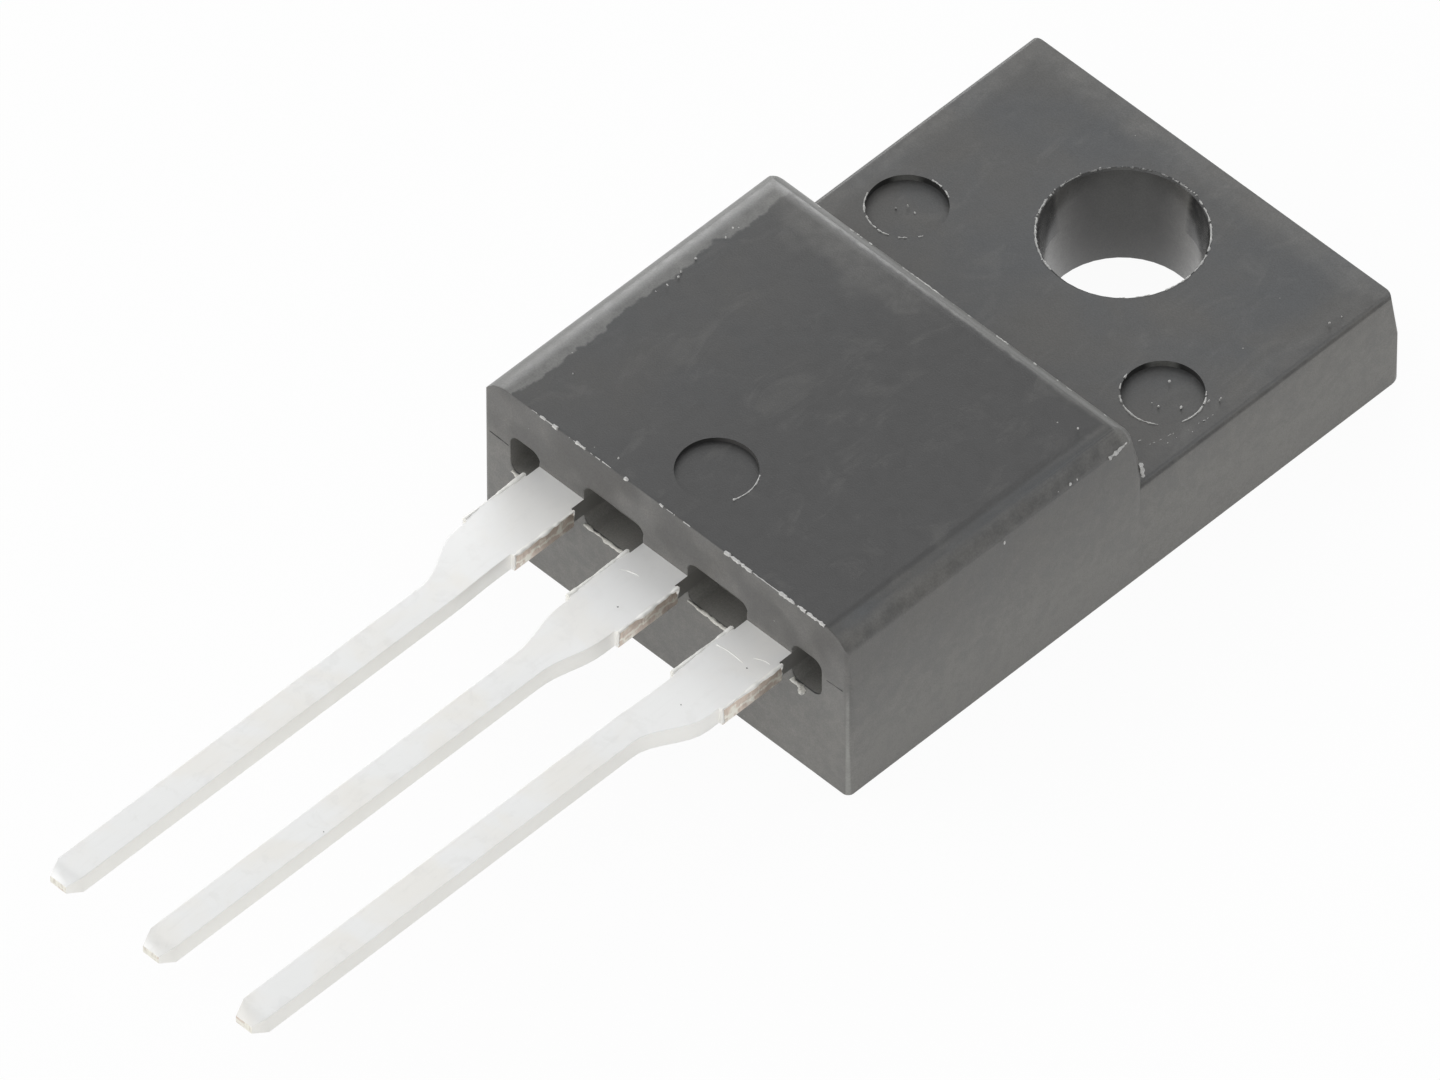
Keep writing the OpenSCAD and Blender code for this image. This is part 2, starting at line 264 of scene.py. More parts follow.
def wearAndSheenShare(tree, at):
    atEdges = largest(tree, *fades(tree, at, wearAndSheen, sideways="tabLeft"),
                      *fades(tree, at, wearAndSheen, sideways="tabRight", lengthways="tabRear"))
    tabBorder = times(tree, at["onTab"], atEdges, wearAndSheen["tabBorder"])
    uneven = vary(tree, at["patches"], -wearAndSheen["uneven"], wearAndSheen["uneven"])
    rearLeft = times(tree, fade(tree, plus(tree, at["lengthways"], uneven), *wearAndSheen["blockRear"]),
                     fade(tree, plus(tree, at["sideways"], uneven), *wearAndSheen["blockLeft"]))
    blockBorder = times(tree, at["onBlock"], rearLeft, wearAndSheen["blockBorder"])
    # painted light: the lower right crown and the tab's rolled right edge are made paler
    rightCrownLight = times(tree, at["upward"], *fades(tree, at, wearAndSheen, slopeX="crownRight", height="crownAbove"),
                       wearAndSheen["crown"])
    rolledEdgeLight = times(tree, at["onTab"], *fades(tree, at, wearAndSheen, slopeX="rolledEdgeLight"), wearAndSheen["roll"])
    paleBordersAndLight = times(tree, largest(tree, tabBorder, blockBorder, largest(tree, rightCrownLight, rolledEdgeLight)),
                   vary(tree, at["mottle"], *wearAndSheen["mottle"]))
    return plus(tree, paleBordersAndLight, times(tree, at["upward"], *fades(tree, at, wearAndSheen, smears="smears")))


# Painted dark reflection on the flat marked face, most towards its right, and on the rounded edge of the tab
# on the right
darkReflectionLook = {"edgeRightOf": (4.45, 4.72), "edgeSlope": (0.5, 0.1), "edge": 0.4,
             "face": (-4.2, 1.0, 0.45, 0.98)}


def darkReflectionShare(tree, at, crown):
    atRight = fades(tree, at, darkReflectionLook, sideways="edgeRightOf", slopeX="edgeSlope")
    rightEdge = times(tree, at["onTab"], *atRight, darkReflectionLook["edge"])
    markedFace = times(tree, at["onBlock"], *fades(tree, at, darkReflectionLook, sideways="face"))
    return largest(tree, rightEdge, times(tree, markedFace, rest(tree, crown)))


# Painted shade in the screw hole: the far wall and the flare at its two sides are darkest
bore = {"within": (1.76, 1.745), "farWall": (-0.707, 0.707, 0.0), "wall": (0.5, 0.95, 0.0, 0.74),
        "flareFrom": (1.41, 1.44), "flareTo": (2.5, 2.46), "farEnd": (0.68, 0.56), "nearEnd": (-0.5, -0.2),
        "mottle": (0.35, 0.65, 1.0, 0.75)}


def boreShadeShares(tree, place, at):
    across = stretched(tree, place, (perMetre, perMetre, 0.0))
    within = fade(tree, vectorCalc(tree, "LENGTH", {0: across}, "Value"), *bore["within"])
    way = vectorCalc(tree, "NORMALIZE", {0: across})
    far = vectorCalc(tree, "DOT_PRODUCT", {0: way, 1: bore["farWall"]}, "Value")
    flare = times(tree, *fades(tree, at, bore, height="flareFrom"), *fades(tree, at, bore, height="flareTo"),
                  fade(tree, far, *bore["farEnd"]), fade(tree, far, *bore["nearEnd"]),
                  *fades(tree, at, bore, mottle="mottle"))
    return within, times(tree, within, largest(tree, flare, fade(tree, far, *bore["wall"])))


def epoxyMaterial(name, look):
    material, tree, surface, place = newMaterial(name)
    at = epoxyFacts(tree, place, look)
    colour = mixColour(tree, vary(tree, at["clouds"]), look["cool"], look["warm"])
    colour = mixColour(tree, sideLightShare(tree, at), colour, look["pale"])
    colour = mixColour(tree, bandShadeShare(tree, at), colour, look["band"])
    crown = crownSheenShare(tree, at)
    colour = mixColour(tree, times(tree, crown, crownSheenLook["cover"]), colour, look["crown"])
    colour = mixColour(tree, frontRightEdgeHighlight(tree, at), colour, look["glint"])
    colour = mixColour(tree, darkReflectionShare(tree, at, crown), colour, look["darkReflection"])
    colour = mixColour(tree, wearAndSheenShare(tree, at), colour, look["pale"])
    inBore, shadow = boreShadeShares(tree, place, at)
    colour = mixColour(tree, shadow, colour, look["shadow"])
    shade = fade(tree, at["grain"], *look["grainShade"])
    grey = addNode(tree, "ShaderNodeCombineColor", {0: shade, 1: shade, 2: shade}).outputs[0]
    colour = mixColour(tree, 1.0, colour, grey, "MULTIPLY")
    # painted glints: pale spots of the filler grains in a share of the cells
    glints = scattered(tree, place, look["glintGap"], 0, look["glintShare"], look["glintSize"],
                       look["glintSize"] * look["glintCore"])
    colour = mixColour(tree, glints, colour, look["glint"])
    plug(tree, colour, surface.inputs["Base Color"])
    # the bore and its rim are smoother than the rest
    rough = plus(tree, fade(tree, at["upward"], 0.0, 1.0, look["roughSide"], look["roughTop"]),
                 vary(tree, at["mottle"], -look["roughSpread"], look["roughSpread"]))
    rough = plus(tree, times(tree, rough, rest(tree, inBore)), times(tree, inBore, look["roughBore"]))
    plug(tree, rough, surface.inputs["Roughness"])
    relief = plus(tree, times(tree, at["grain"], look["grainInBump"]),
                  times(tree, at["mottle"], look["mottleInBump"]))
    lost = times(tree, inBore, look["bump"] * look["bumpLostInBore"])
    addBump(tree, surface, relief, calc(tree, "SUBTRACT", look["bump"], lost), look["bumpDepth"])
    surface.inputs["IOR"].default_value = look["refraction"]
    return material


epoxyPlain = epoxyMaterial("mouldingEpoxy", epoxy)
# Painted light inside the pockets: a paler copy of the epoxy lifts their shade
epoxyPocketLit = epoxyMaterial("mouldingEpoxyPocketLit", {
    **epoxy, "cool": (0.17, 0.167, 0.157, 1), "warm": (0.18, 0.177, 0.165, 1),
    "pale": (0.19, 0.187, 0.175, 1), "band": (0.18, 0.177, 0.167, 1), "glintShare": 0.05})
# Painted shade on the walls of the ejector marks: a near-black copy of the epoxy
epoxyMarkWallShade = epoxyMaterial("mouldingMarkWallShade", {
    **epoxy, "cool": (0.02, 0.02, 0.02, 1), "warm": (0.025, 0.025, 0.024, 1),
    "pale": (0.022, 0.022, 0.021, 1), "glintShare": 0.0})
# Thin dark seams where the halves of the mould met
epoxySeam = epoxyMaterial("mouldingSeam", {
    **epoxy, "cool": (0.018, 0.018, 0.018, 1), "warm": (0.022, 0.022, 0.021, 1),
    "pale": (0.025, 0.024, 0.022, 1), "band": (0.02, 0.02, 0.02, 1)})
# Pale, for thin broken plastic, which scatters light, and for the painted highlights along edges and rims
epoxyFlashAndHighlight = epoxyMaterial("mouldingFlashAndHighlight", {
    **epoxy, "cool": (0.44, 0.44, 0.43, 1), "warm": (0.52, 0.515, 0.50, 1), "pale": (0.62, 0.615, 0.60, 1),
    "band": (0.74, 0.735, 0.70, 1), "crown": (0.56, 0.56, 0.54, 1), "darkReflection": (0.5, 0.5, 0.5, 1)})
paleFlash = epoxyMaterial("mouldingPaleFlash", {
    **epoxy, "cool": (0.62, 0.61, 0.57, 1), "warm": (0.68, 0.67, 0.62, 1),
    "pale": (0.80, 0.79, 0.73, 1), "band": (0.78, 0.77, 0.71, 1)})

# Tin plating on copper strip
tin = {
    "clean": (0.745, 0.748, 0.742, 1), "stained": (0.74, 0.727, 0.695, 1), "dull": (0.61, 0.605, 0.59, 1),
    "side": (0.96, 0.95, 0.91, 1), "root": (0.16, 0.157, 0.147, 1), "rootLight": (0.98, 0.98, 0.97, 1),
    "pit": (0.12, 0.10, 0.08, 1),
    "streaks": (0.09, 3.0, 0.6), "streakStretch": (1.0, 0.12, 1.0), "stains": (1.6, 3.0, 0.5, 0.6),
    "grain": (0.03, 2.0, 0.6), "patches": (0.4, 3.0, 0.6, 0.4),
    "stainCover": (0.42, 0.66, 0.0, 0.85), "streakCover": (0.5, 0.85, 0.0, 0.2),
    "patchCover": (0.52, 0.68, 0.0, 0.22), "flat": (0.3, 0.85), "rootLightTo": (5.0, 0.5, 0.0, 0.48),
    "rootShadeTo": (0.36, 0.31), "pitGap": 1.6, "pitSize": 0.012, "pitRim": 1.6, "pitShare": 0.3, "pitCover": 0.7,
    "metal": 0.4, "rough": 0.48, "roughStains": (-0.06, 0.08),
    "bump": 0.05, "bumpDepth": 0.00003, "streaksInBump": 0.6, "grainInBump": 0.4,
}


def tinMaterial(name, look):
    material, tree, surface, place = newMaterial(name)
    streaks = noiseOf(tree, stretched(tree, place, look["streakStretch"]), *look["streaks"])
    stains = noiseOf(tree, place, *look["stains"])
    grain = noiseOf(tree, place, *look["grain"])
    patches = noiseOf(tree, place, *look["patches"])
    colour = mixColour(tree, fade(tree, stains, *look["stainCover"]), look["clean"], look["stained"])
    colour = mixColour(tree, fade(tree, streaks, *look["streakCover"]), colour, look["dull"])
    colour = mixColour(tree, fade(tree, patches, *look["patchCover"]), colour, look["dull"])
    # painted light: the faces on edge are paler than the tops
    upOrDown = calc(tree, "ABSOLUTE", faceSlopes(tree)[2])
    edgewise = rest(tree, fade(tree, upOrDown, *look["flat"]))
    colour = mixColour(tree, edgewise, colour, look["side"])
    # painted light on the top close to the moulding, and painted shade on the sides at the root, dark like
    # the pockets beside them
    fromFront = calc(tree, "SUBTRACT", frontY, times(tree, separate(tree, place)[1], perMetre))
    colour = mixColour(tree, fade(tree, fromFront, *look["rootLightTo"]), colour, look["rootLight"])
    rootShade = times(tree, edgewise, fade(tree, fromFront, *look["rootShadeTo"]))
    colour = mixColour(tree, rootShade, colour, look["root"])
    pitted = scattered(tree, place, look["pitGap"], 1, look["pitShare"], look["pitSize"] * look["pitRim"],
                       look["pitSize"])
    colour = mixColour(tree, times(tree, pitted, look["pitCover"]), colour, look["pit"])
    plug(tree, colour, surface.inputs["Base Color"])
    plug(tree, times(tree, rest(tree, rootShade), look["metal"]), surface.inputs["Metallic"])
    rough = plus(tree, look["rough"], vary(tree, stains, *look["roughStains"]))
    plug(tree, rough, surface.inputs["Roughness"])
    relief = plus(tree, times(tree, streaks, look["streaksInBump"]), times(tree, grain, look["grainInBump"]))
    addBump(tree, surface, calc(tree, "SUBTRACT", relief, pitted), look["bump"], look["bumpDepth"])
    return material


# Bare copper where the tie bars and the tips were cut, smeared with tin
copper = {
    "bare": (0.68, 0.58, 0.50, 1), "smear": (0.88, 0.86, 0.78, 1), "dark": (0.46, 0.39, 0.34, 1),
    "shear": (0.07, 3.0, 0.7), "shearStretch": (1.0, 1.0, 0.2), "patches": (0.35, 3.0, 0.6, 0.5),
    "smearFrom": (0.62, 0.75), "smearGain": 0.3, "shearCover": (0.55, 0.35, 0.0, 0.4),
    "wave": 0.05, "breakFrom": (2.72, 2.76), "breakTo": (2.82, 2.78), "breakCover": 0.8,
    "metal": 0.75, "rough": 0.4, "roughSpread": 0.1, "bump": 0.4, "bumpDepth": 0.00004,
}


def copperMaterial(name, look, tinShare):
    material, tree, surface, place = newMaterial(name)
    shear = noiseOf(tree, stretched(tree, place, look["shearStretch"]), *look["shear"])
    patches = noiseOf(tree, place, *look["patches"])
    smearFrom = [limit - tinShare * look["smearGain"] for limit in look["smearFrom"]]
    colour = mixColour(tree, fade(tree, patches, *smearFrom), look["bare"], look["smear"])
    colour = mixColour(tree, fade(tree, shear, *look["shearCover"]), colour, look["dark"])
    # a bright line half way down, where the shear gave way to a clean break
    height = times(tree, separate(tree, place)[2], perMetre)
    wavy = plus(tree, height, vary(tree, patches, -look["wave"], look["wave"]))
    line = times(tree, fade(tree, wavy, *look["breakFrom"]), fade(tree, wavy, *look["breakTo"]))
    colour = mixColour(tree, times(tree, line, look["breakCover"]), colour, look["smear"])
    plug(tree, colour, surface.inputs["Base Color"])
    surface.inputs["Metallic"].default_value = look["metal"]
    rough = vary(tree, patches, look["rough"] - look["roughSpread"], look["rough"] + look["roughSpread"])
    plug(tree, rough, surface.inputs["Roughness"])
    addBump(tree, surface, shear, look["bump"], look["bumpDepth"])
    return material


leadTin = tinMaterial("leadTin", tin)
tieBarCopper = copperMaterial("tieBarCopper", copper, 0.3)
tipCopper = copperMaterial("tipCopper", copper, 0.9)
burrTin = tinMaterial("burrTin", {
    **tin, "clean": (0.92, 0.91, 0.86, 1), "stained": (0.91, 0.89, 0.81, 1), "side": (0.93, 0.91, 0.85, 1),
    "root": (0.8, 0.78, 0.72, 1), "rough": 0.5, "metal": 0.2})

# Pieces that stay hidden in the moulding
wireLook = {"colour": (0.78, 0.78, 0.80, 1), "other": (0.62, 0.62, 0.65, 1),
            "rough": 0.3, "metal": 1.0, "size": 0.1}
insideLooks = {
    "transistor_die": {"colour": (0.30, 0.31, 0.37, 1), "other": (0.42, 0.42, 0.46, 1),
                       "rough": 0.15, "metal": 0.6, "size": 0.5},
    "die_attach_solder": {"colour": (0.55, 0.55, 0.53, 1), "other": (0.36, 0.35, 0.33, 1),
                          "rough": 0.45, "metal": 1.0, "size": 0.2},
    "emitter_bond_wire": wireLook,
    "base_bond_wire": wireLook,
}
insideShared = {"detail": 4.0, "roughness": 0.6, "cover": (0.35, 0.65), "smoother": 0.05, "rougher": 0.1,
                "bump": 0.15, "bumpDepth": 0.00002}


def insideMaterial(name, look):
    material, tree, surface, place = newMaterial(name)
    cloud = noiseOf(tree, place, look["size"], insideShared["detail"], insideShared["roughness"])
    colour = mixColour(tree, fade(tree, cloud, *insideShared["cover"]), look["colour"], look["other"])
    plug(tree, colour, surface.inputs["Base Color"])
    surface.inputs["Metallic"].default_value = look["metal"]
    rough = vary(tree, cloud, look["rough"] - insideShared["smoother"],
                 look["rough"] + insideShared["rougher"])
    plug(tree, rough, surface.inputs["Roughness"])
    addBump(tree, surface, cloud, insideShared["bump"], insideShared["bumpDepth"])
    return material


for nodeName, look in insideLooks.items():
    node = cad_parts[nodeName]
    node.data.materials.clear()
    node.data.materials.append(insideMaterial(nodeName + "Finish", look))
print("materials made")


# Copies of the frame's nodes take the fine detail: lengths in millimetres, angles in degrees
copyRules = {"mergeWithin": 0.0005, "flatWithin": 0.5, "bevelFrom": 28.0, "bevelSteps": 2,
             "bevelProfile": 0.5, "sharpFrom": 32}


def mergedCopy(nodeName):
    shape = bmesh.new()
    shape.from_mesh(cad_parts[nodeName].data)
    bmesh.ops.scale(shape, vec=(perMetre,) * 3, verts=shape.verts)
    bmesh.ops.remove_doubles(shape, verts=shape.verts, dist=copyRules["mergeWithin"])
    bmesh.ops.dissolve_limit(shape, angle_limit=math.radians(copyRules["flatWithin"]), verts=shape.verts,
                             edges=shape.edges)
    return shape


def bentMore(edge, degrees):
    return len(edge.link_faces) == 2 and edge.calc_face_angle(0.0) > math.radians(degrees)


def breakEdges(shape, width, chosen, material=-1):
    edges = [e for e in shape.edges if bentMore(e, copyRules["bevelFrom"]) and chosen(e)]
    bmesh.ops.bevel(shape, geom=edges, offset=width, offset_type="OFFSET", segments=copyRules["bevelSteps"],
                    profile=copyRules["bevelProfile"], affect="EDGES", clamp_overlap=False, material=material)
    return len(edges)


def addToScene(name, data):
    thing = bpy.data.objects.new(name, data)
    bpy.context.scene.collection.objects.link(thing)
    return thing


def finishPiece(shape, name, materials, replaced):
    bmesh.ops.scale(shape, vec=(mm,) * 3, verts=shape.verts)
    for face in shape.faces:
        face.smooth = True
    for edge in shape.edges:
        edge.smooth = not bentMore(edge, copyRules["sharpFrom"])
    mesh = bpy.data.meshes.new(name)
    shape.to_mesh(mesh)
    shape.free()
    for material in materials:
        mesh.materials.append(material)
    piece = addToScene(name, mesh)
    weighted = piece.modifiers.new("flatFaces", "WEIGHTED_NORMAL")
    weighted.keep_sharp = True
    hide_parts(*replaced)
    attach(piece, "root")


def near(value, target, reach=0.004):
    return abs(value - target) < reach


# The moulding: every outer edge is broken a little
moulding = {"edge": 0.035, "tabTop": 2.51, "partingZ": 3.03, "leadUnder": 2.58, "leadsWithin": 4.0,
            "cornerFrom": 4.69, "crownAbove": 4.0, "rimRadius": 1.74, "rimSunk": 0.005,
            "markRadius": 0.83, "markX": 3.5, "markY": -2.48, "topMarkY": 1.42,
            "markDepths": (0.15, 0.15, 0.1),
            "pocketFloor": 2.34, "pocketTop": 3.45, "pocketDepth": 0.7, "pocketEnd": 4.3,
            "pocketSpare": 0.01, "pocketBehind": 0.05, "upright": 0.5}
marks = [(-moulding["markX"], moulding["markY"], moulding["tabTop"]),
         (moulding["markX"], moulding["markY"], moulding["tabTop"]),
         (0.0, frontY + moulding["topMarkY"], topZ)]


def outerEdge(edge):
    a, b = (v.co for v in edge.verts)
    if near(a.z, 0) and near(b.z, 0):
        return True
    if near(a.y, frontY) and near(b.y, frontY):
        atLead = any(near(p.z, z) and abs(p.x) < moulding["leadsWithin"] for p in (a, b)
                     for z in (moulding["partingZ"], moulding["leadUnder"]))
        # the last bit of the crown stays sharp, where the rounded front corner cuts it
        atCorner = (min(abs(a.x), abs(b.x)) > moulding["cornerFrom"]
                    and min(a.z, b.z) > moulding["crownAbove"])
        return not (atLead or atCorner)
    return False


def inMark(point, spare=0.05):
    return any(math.hypot(point.x - x, point.y - y) < moulding["markRadius"] + spare
               and z - depth - spare < point.z < z + spare
               for (x, y, z), depth in zip(marks, moulding["markDepths"]))


def inPocket(point):
    return (frontY + moulding["pocketSpare"] < point.y
            < frontY + moulding["pocketDepth"] + moulding["pocketBehind"]
            and moulding["pocketFloor"] - moulding["pocketSpare"] < point.z
            < moulding["pocketTop"] + moulding["pocketSpare"]
            and abs(point.x) < moulding["pocketEnd"])


# The ejector marks are cut again, finer than the frame's copy has them
markCut = {"sides": 96, "floorSpare": 0.004, "mouthSpare": 0.008, "height": 1.0, "deeper": 0.002}


def markCutter(x, y, z, depth):
    cutter = bmesh.new()
    bmesh.ops.create_cone(cutter, cap_ends=True, segments=markCut["sides"],
                          radius1=moulding["markRadius"] + markCut["floorSpare"],
                          radius2=moulding["markRadius"] + markCut["mouthSpare"], depth=markCut["height"])
    middle = z - depth - markCut["deeper"] + markCut["height"] / 2
    bmesh.ops.translate(cutter, verts=cutter.verts, vec=(x, y, middle))
    return cutter


# The crowned edges roll round the rear corners of the block, and its front corners are rounded less
corners = {"rearRadius": 0.35, "stretch": 1.034, "rearY": -4.73, "crownRadius": 0.71, "crownFrom": 24.1,
           "crownStep": 8.2375, "levels": 5, "frontRadius": 0.16, "steps": 8, "reach": 0.5, "spare": 0.0008,
           "beyond": 0.2, "widest": 1.0}


def cornerCutter(centre, side, way, levels):
    cutter = bmesh.new()
    spare, reach, steps = corners["spare"], corners["reach"], corners["steps"]
    turns = [math.radians(90.0 * i / steps) for i in range(steps + 1)]
    rings = []
    for z, across, along in levels:
        ring = [((across + spare) * math.cos(a), (along + spare) * math.sin(a)) for a in turns]
        ring += [(0, reach), (reach, reach), (reach, 0)]
        rings.append([cutter.verts.new((centre[0] + side * u, centre[1] + way * v, z)) for u, v in ring])
    for low, high in zip(rings, rings[1:]):
        for i in range(len(low)):
            cutter.faces.new((low[i], low[i - 1], high[i - 1], high[i]))
    cutter.faces.new(rings[0])
    cutter.faces.new(rings[-1])
    bmesh.ops.recalc_face_normals(cutter, faces=cutter.faces)
    return cutter


def rearCorner(side):
    radius, roll, stretch = corners["rearRadius"], corners["crownRadius"], corners["stretch"]
    tilts = [math.radians(corners["crownFrom"] + corners["crownStep"] * i)
             for i in range(corners["levels"] + 1)]
    insets = [(topZ + roll * (math.sin(t) - 1), roll * (math.cos(tilts[0]) - math.cos(t))) for t in tilts]
    insets.append((topZ + corners["beyond"], radius + corners["widest"]))
    levels = [(z, max(radius - inset, 0.0), max(radius * stretch - inset, 0.0)) for z, inset in insets]
    centre = (side * (bodyHigh.x - radius), corners["rearY"] - radius * stretch)
    return cornerCutter(centre, side, 1, levels)


def frontCorner(side):
    radius = corners["frontRadius"]
    levels = [(-corners["beyond"], radius, radius), (topZ + corners["beyond"], radius, radius)]
    return cornerCutter((side * (bodyHigh.x - radius), frontY + radius), side, -1, levels)


def addShape(name, shape):
    mesh = bpy.data.meshes.new(name)
    shape.to_mesh(mesh)
    shape.free()
    return addToScene(name, mesh)


def cutAway(shape, shapesToCut):
    holder = addShape("coarse", shape)
    cutters = [addShape("cutter", cutter) for cutter in shapesToCut]
    for tool in cutters:
        cut = holder.modifiers.new("cut", "BOOLEAN")
        cut.operation, cut.solver, cut.object = "DIFFERENCE", "EXACT", tool
    bpy.context.view_layer.update()
    finished = bpy.data.meshes.new_from_object(holder.evaluated_get(bpy.context.evaluated_depsgraph_get()))
    for spare in cutters + [holder]:
        bpy.data.objects.remove(spare)
    shape = bmesh.new()
    shape.from_mesh(finished)
    for face in shape.faces:
        face.material_index = 0
    return shape


markCutters = [markCutter(*mark, depth) for mark, depth in zip(marks, moulding["markDepths"])]
cornerCutters = [make(side) for make in (rearCorner, frontCorner) for side in (-1, 1)]
body = cutAway(mergedCopy("moulded_body"), markCutters + cornerCutters)
pocketFaces = [f for f in body.faces if inPocket(f.calc_center_median())]
for face in pocketFaces:
    face.material_index = 1
brokenEdges = breakEdges(body, moulding["edge"], outerEdge, 0)
# the upright walls of the ejector marks take the painted shade
shadedMarkWalls = [f for f in body.faces
             if inMark(f.calc_center_median()) and abs(f.normal.z) < moulding["upright"]]
for face in shadedMarkWalls:
    face.material_index = 2
finishPiece(body, "moulding", [epoxyPlain, epoxyPocketLit, epoxyMarkWallShade], ["moulded_body"])
print("moulding:", brokenEdges, "outer edges broken,", len(pocketFaces), "pocket faces,",
      len(shadedMarkWalls), "mark walls")

# Leads: rolled upper edges, bare copper where the tie bars and the tips were cut
lead = {"edge": 0.022, "stubFrom": 0.35, "stubTo": 2.0, "stubOut": 0.09, "broadHalf": 0.61, "tipBeyond": 5.0,
        "upright": 0.9, "spare": 0.01, "clear": 0.001, "cutWithin": 0.0001,
        "rows": [("base_lead", "baseLead", -2.84), ("collector_lead_frame", "collectorLead", 0.0),
                 ("emitter_lead", "emitterLead", 2.84)]}


def leadPiece(nodeName, name, middle):
    shape = mergedCopy(nodeName)
    # a cut at the moulding keeps the copper off what lies inside it
    bmesh.ops.bisect_plane(shape, geom=shape.verts[:] + shape.edges[:] + shape.faces[:],
                           plane_co=(0, frontY, 0), plane_no=(0, 1, 0), dist=lead["cutWithin"])
    stubFace = lead["broadHalf"] + lead["stubOut"] - lead["spare"]
    for face in shape.faces:
        centre = face.calc_center_median()
        fromFront = frontY - centre.y
        if fromFront < 0:
            continue
        if abs(face.normal.x) > lead["upright"] and abs(centre.x - middle) > stubFace:
            face.material_index = 1
        elif face.normal.y < -lead["upright"] and fromFront > lead["stubTo"] + lead["tipBeyond"]:
            face.material_index = 2
    breakEdges(shape, lead["edge"], lambda e: all(v.co.y < frontY - lead["clear"] for v in e.verts))
    finishPiece(shape, name, [leadTin, tieBarCopper, tipCopper], [nodeName])


for nodeName, name, middle in lead["rows"]:
    leadPiece(nodeName, name, middle)
print("leads made")


# Ragged strips: flash, burrs, broken rims and painted highlights that follow a line

def newTree(name, sizes):
    tree = bpy.data.node_groups.new(name, "GeometryNodeTree")
    tree.interface.new_socket("Line", in_out="INPUT", socket_type="NodeSocketGeometry")
    for title, value in sizes.items():
        kind = "NodeSocketInt" if isinstance(value, int) else "NodeSocketFloat"
        tree.interface.new_socket(title, in_out="INPUT", socket_type=kind).default_value = value
    tree.interface.new_socket("Mesh", in_out="OUTPUT", socket_type="NodeSocketGeometry")
    return tree, tree.nodes.new("NodeGroupInput").outputs, tree.nodes.new("NodeGroupOutput")


def geometry(tree, kind, inputs, **settings):
    return addNode(tree, "GeometryNode" + kind, inputs, **settings).outputs[0]


def isBelow(tree, value, limit):
    return addNode(tree, "FunctionNodeCompare", {0: value, 1: limit}, data_type="FLOAT",
                   operation="LESS_THAN").outputs[0]


def endTree(tree, shapes, result):
    whole = geometry(tree, "RealizeInstances", {"Geometry": shapes})
    painted = addNode(tree, "GeometryNodeSetMaterial", {"Geometry": whole})
    tree.links.new(painted.outputs[0], result.inputs["Mesh"])
    return painted


stripShape = {"noiseDetail": 2.0, "gapScale": 0.35, "gapSeed": 7.3,
              "thinnest": 0.45, "thickest": 1.5, "sides": 6}


def seededNoise(tree, place, scale, seed):
    grain = {"Vector": place, "Scale": scale, "W": seed, "Detail": stripShape["noiseDetail"]}
    return addNode(tree, "ShaderNodeTexNoise", grain, noise_dimensions="4D").outputs


def stripTree():
    tree, given, result = newTree("raggedStrip", {"Thickness": 0.02, "Waviness": 0.02, "Grain": 0.12,
                                                  "Broken": 0.3, "Step": 0.03, "Seed": 1})
    line = geometry(tree, "MeshToCurve", {"Mesh": given["Line"]})
    spaced = geometry(tree, "ResampleCurve", {"Curve": line, "Length": given["Step"]}, mode="LENGTH")
    place = tree.nodes.new("GeometryNodeInputPosition").outputs[0]
    frequency = calc(tree, "DIVIDE", 1.0, given["Grain"])
    coarse = seededNoise(tree, place, frequency, given["Seed"])
    gaps = seededNoise(tree, place, times(tree, frequency, stripShape["gapScale"]),
                       plus(tree, given["Seed"], stripShape["gapSeed"]))
    # the gaps are cut while the line is a mesh, so that it falls into separate pieces
    wire = geometry(tree, "CurveToMesh", {"Curve": spaced})
    gone = isBelow(tree, gaps[0], given["Broken"])
    cut = geometry(tree, "DeleteGeometry", {"Geometry": wire, "Selection": gone}, domain="POINT")
    kept = geometry(tree, "MeshToCurve", {"Mesh": cut})
    centred = vectorCalc(tree, "SUBTRACT", {0: coarse["Color"], 1: (0.5, 0.5, 0.5)})
    shift = vectorCalc(tree, "SCALE", {0: centred, "Scale": given["Waviness"]})
    moved = geometry(tree, "SetPosition", {"Geometry": kept, "Offset": shift})
    uneven = vary(tree, coarse[0], stripShape["thinnest"], stripShape["thickest"])
    thick = times(tree, uneven, given["Thickness"])
    sized = geometry(tree, "SetCurveRadius", {"Curve": moved, "Radius": thick})
    ring = geometry(tree, "CurvePrimitiveCircle", {"Resolution": stripShape["sides"], "Radius": 1.0})
    outline = {"Curve": sized, "Profile Curve": ring, "Fill Caps": True}
    tube = addNode(tree, "GeometryNodeCurveToMesh", outline)
    if "Scale" in tube.inputs:
        tree.links.new(thick, tube.inputs["Scale"])
    smooth = geometry(tree, "SetShadeSmooth", {"Geometry": tube.outputs[0]})
    return tree, endTree(tree, smooth, result)


chipShape = {"fullTurn": (6.28, 6.28, 6.28), "flattest": (0.4, 0.4, 0.3), "longest": (1.5, 1.2, 0.9)}


def randomVector(tree, low, high, seed, offset):
    return addNode(tree, "FunctionNodeRandomValue", {0: low, 1: high, "Seed": plus(tree, seed, offset)},
                   data_type="FLOAT_VECTOR").outputs[0]


